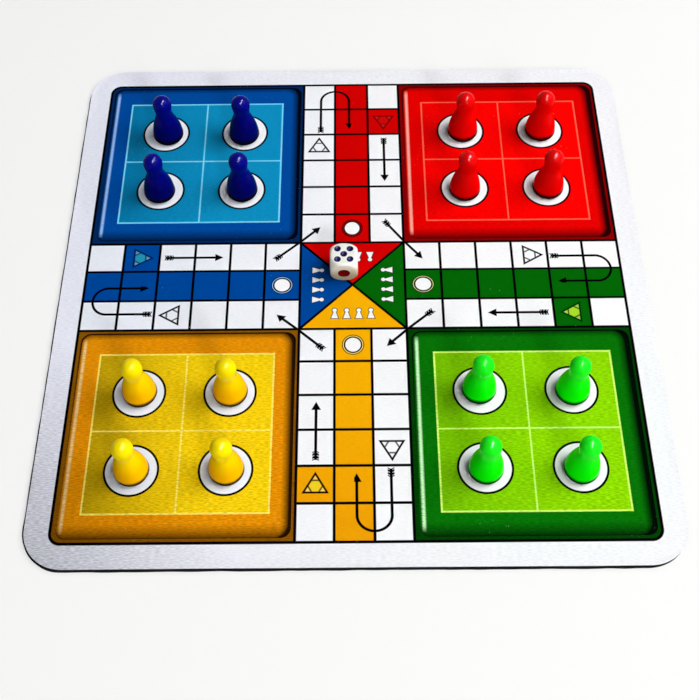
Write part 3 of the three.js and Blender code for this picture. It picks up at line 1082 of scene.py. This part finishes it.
# Painted shade round the pawn's foot, where it meets the cloth; it is also duller there.
painted_foot_shade = (moulded_z - pigment * FOOT_SHADE_RAGGED).fade(FOOT_SHADE_TOP, FOOT_SHADE_FULL) * moulded_in["Dirt"]
# Painted light and shade with height, with the pigment's uneven tone mixed in.
painted_light_and_pigment = (moulded_z - CLOTH_TOP).maths("DIVIDE", moulded_in["Reach"]) + pigment * PIGMENT_SHARE
moulded_colour = paint(moulded_in["Deep"], moulded_in["Colour"], painted_light_and_pigment.fade(*LIGHT_EDGE))
close_group(moulded, Colour=paint(moulded_colour, linear(8, 8, 10), painted_foot_shade),
            Roughness=handled * HANDLED_ROUGH + painted_foot_shade * FOOT_SHADE_ROUGH + moulded_in["Gloss"],
            Height=peel, Clean=1.0 - painted_foot_shade)

# The colour of each plastic at the top and low down; the change between them is painted light and shade.
PLASTICS = {
    "blue": ((1, 4, 128), (2, 2, 96)),
    "red": ((230, 3, 2), (226, 1, 1)),
    "yellow": ((255, 228, 2), (255, 192, 1)),
    "green": ((30, 254, 34), (2, 255, 4)),
}
# The pawns carry a strong painted foot shade.
PAWN_FINISH = {"shine": 0.035, "gloss": 0.15, "reach": 19 * MM, "foot_shade": 0.96}


def plastic_material(name, colour, deep, shine, gloss, reach, foot_shade=0.0):
    """A moulded plastic in its own colour, painted lighter with height and, where asked, shaded at the foot.
    """
    material, tree, shader = new_material(name)
    made = place_group(tree, moulded, Place=object_place(tree), Colour=linear(*colour), Deep=linear(*deep),
                       Gloss=gloss, Reach=reach, Dirt=foot_shade)
    wire(shader, Base_Color=made["Colour"], Roughness=made["Roughness"],
         Specular_IOR_Level=made["Clean"] * shine)
    bump(shader, made["Height"], distance=0.005 * MM)
    return material


pawn_plastics = {team: plastic_material(f"{team}_plastic", *inks, **PAWN_FINISH)
                 for team, inks in PLASTICS.items()}
print("Pawn plastics:", ", ".join(pawn_plastics))

# %% [markdown]
# ## Sixteen pawns
# Every pawn stands where its CAD node stands, so the middle of that node's box is its place.
# Nobody sets pawns down all facing the same way, so each one's ridge is turned by its own angle.

# %% Pawns
RIDGE_TURN = math.radians(67)
for index, (team, number) in enumerate((t, n) for t in PLASTICS for n in range(1, 5)):
    node = f"{team}_pawn_{number}"
    low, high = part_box(node)
    foot = Vector(((low.x + high.x) / 2, (low.y + high.y) / 2, low.z))
    shape = pawn_shape(foot, RIDGE_TURN * index)
    pawn = make_piece(shape, f"{node}_moulding", node, node,
                      [pawn_plastics[team]], smooth_angle=40)
print("Last pawn has", len(pawn.data.polygons), "faces, standing at", in_mm(foot))

# %% [markdown]
# ## The die
# The die is a moulded cube that was tumbled round: its edges are soft and its corners are gone.
# A bevel alone would leave square-looking faces. So a cube that is cut into a fine net is drawn in:
# a point goes to the soft-edged cube or to the ball that takes the corners off, whichever is nearer,
# with a soft change. A Boolean then takes the pips out.

# %% Die shape
DIE_LOW, DIE_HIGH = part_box("die")
DIE_MIDDLE = (DIE_LOW + DIE_HIGH) / 2
DIE_HALF = (DIE_HIGH.z - DIE_LOW.z) / 2
BALL_RADIUS = DIE_HALF * math.sqrt(3) - 2.1 * MM
EDGE_POWER = 18
CHANGE_LENGTH = 0.25 * MM
NET_CUTS = 31
PIP_STEP = 2.65 * MM
# The width and depth of a pip and of the large single one.
PIP = (2.9 * MM, 0.55 * MM)
ACE = (5.2 * MM, 1.0 * MM)
# The pips of a face, and the turn that brings the upper face to that side.
DIE_FACES = [(5, "X", 0), (2, "X", 180), (1, "X", 90), (6, "X", -90), (4, "Y", 90), (3, "Y", -90)]
PIP_SPOTS = {
    1: [(0, 0)],
    2: [(-1, 1), (1, -1)],
    3: [(-1, 1), (0, 0), (1, -1)],
    4: [(-1, -1), (-1, 1), (1, -1), (1, 1)],
    5: [(-1, -1), (-1, 1), (0, 0), (1, -1), (1, 1)],
    6: [(-1, -1), (-1, 0), (-1, 1), (1, -1), (1, 0), (1, 1)],
}


def cut_away(target, cutter):
    """Takes a cutter, whose parts may overlap, out of the target's mesh."""
    modifier = target.modifiers.new("cut_away", "BOOLEAN")
    modifier.operation = "DIFFERENCE"
    modifier.solver = "EXACT"
    modifier.use_self = True
    modifier.object = cutter
    result = bpy.data.meshes.new_from_object(target.evaluated_get(bpy.context.evaluated_depsgraph_get()))
    target.modifiers.clear()
    target.data = result
    bpy.data.objects.remove(cutter)


def die_reach(direction):
    """How far the die's skin lies from its middle in a direction."""
    to_cube = DIE_HALF / sum(abs(c) ** EDGE_POWER for c in direction) ** (1 / EDGE_POWER)
    shares = sum(math.exp(-reach / CHANGE_LENGTH) for reach in (to_cube, BALL_RADIUS))
    return -CHANGE_LENGTH * math.log(shares)


cube = bmesh.new()
ops.create_cube(cube, size=2 * DIE_HALF)
ops.subdivide_edges(cube, edges=cube.edges, cuts=NET_CUTS, use_grid_fill=True)
for vert in cube.verts:
    direction = vert.co.normalized()
    vert.co = direction * die_reach(direction)
die_blank = new_object("die_blank", cube)

pips = []
pip_cutters = bmesh.new()
for count, axis, degrees in DIE_FACES:
    face_turn = Matrix.Rotation(math.radians(degrees), 3, axis)
    width, depth = ACE if count == 1 else PIP
    bore = (width * width / 4 + depth * depth) / (2 * depth)
    for spot_x, spot_y in PIP_SPOTS[count]:
        spot = face_turn @ Vector((spot_x * PIP_STEP, spot_y * PIP_STEP, DIE_HALF + bore - depth))
        place = Matrix.Translation(spot) @ face_turn.to_4x4()
        ops.create_uvsphere(pip_cutters, u_segments=40, v_segments=24, radius=bore, matrix=place)
        pips.append((spot, bore, count))
cut_away(die_blank, new_object("pip_cutters", pip_cutters))
print("Die blank has", len(die_blank.data.polygons), "faces and", len(pips), "pips")

# %% [markdown]
# ## Rims and paint of the die
# Tumbling also softens the rims of the pips a little, so they get a narrow bevel.
# A face belongs to a pip's paint when all its points lie on the ball that cut that pip.

# %% Die rims and pip faces
RIM_ROUND = 0.12 * MM
ON_BALL = 0.02 * MM

die_mesh = bmesh.new()
die_mesh.from_mesh(die_blank.data)
bpy.data.objects.remove(die_blank)
weld(die_mesh)
ops.dissolve_limit(die_mesh, angle_limit=math.radians(0.5), verts=die_mesh.verts, edges=die_mesh.edges)
put_in_order(die_mesh)
for face in die_mesh.faces:
    for spot, bore, count in pips:
        if all(abs((v.co - spot).length - bore) < ON_BALL for v in face.verts):
            face.material_index = 2 if count == 1 else 1
rims = [e for e in die_mesh.edges if len({f.material_index for f in e.link_faces}) == 2]
ops.bevel(die_mesh, geom=rims, offset=RIM_ROUND, segments=2, profile=0.5, affect="EDGES", material=-1)
ops.translate(die_mesh, verts=die_mesh.verts, vec=DIE_MIDDLE)
print("Die has", len(die_mesh.faces), "faces and", open_edges(die_mesh), "open edges")

# %% [markdown]
# ## Finish of the die
# The body is the same kind of moulding in ivory white, with a darker colour low down as painted shade.
# The pips are filled by hand with a glossy paint, dark blue everywhere and dark red in the large single pip.

# %% Die finish
DIE_FINISH = {"shine": 0.03, "gloss": 0.2, "reach": 9.5 * MM}
# The body, the pips' paint and the single pip's paint, as the faces number them; each low colour is painted
# shade.
DIE_PLASTICS = {
    "ivory_plastic": ((240, 240, 233), (186, 177, 154)),
    "dark_blue_paint": ((4, 4, 76), (2, 2, 56)),
    "dark_red_paint": ((120, 4, 6), (112, 3, 5)),
}

die_materials = [plastic_material(name, *inks, **DIE_FINISH) for name, inks in DIE_PLASTICS.items()]
die = make_piece(die_mesh, "die_moulding", "die", "die", die_materials, smooth_angle=60)
even_shading = die.modifiers.new("even_shading", "WEIGHTED_NORMAL")
even_shading.keep_sharp = True
even_shading.weight = 100
print("Made", die.name)

# %% [markdown]
# ## Size
# The box of the CAD model and the box of the dressed model are both printed. The dressed
# model has to fill the same box as the CAD model.

# %% Print both boxes
boxes = {"cad": [list(c) for c in cad_box], "visual": [list(c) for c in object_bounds()]}
for name, box in boxes.items():
    print(name, "box in mm:", [in_mm(corner) for corner in box])
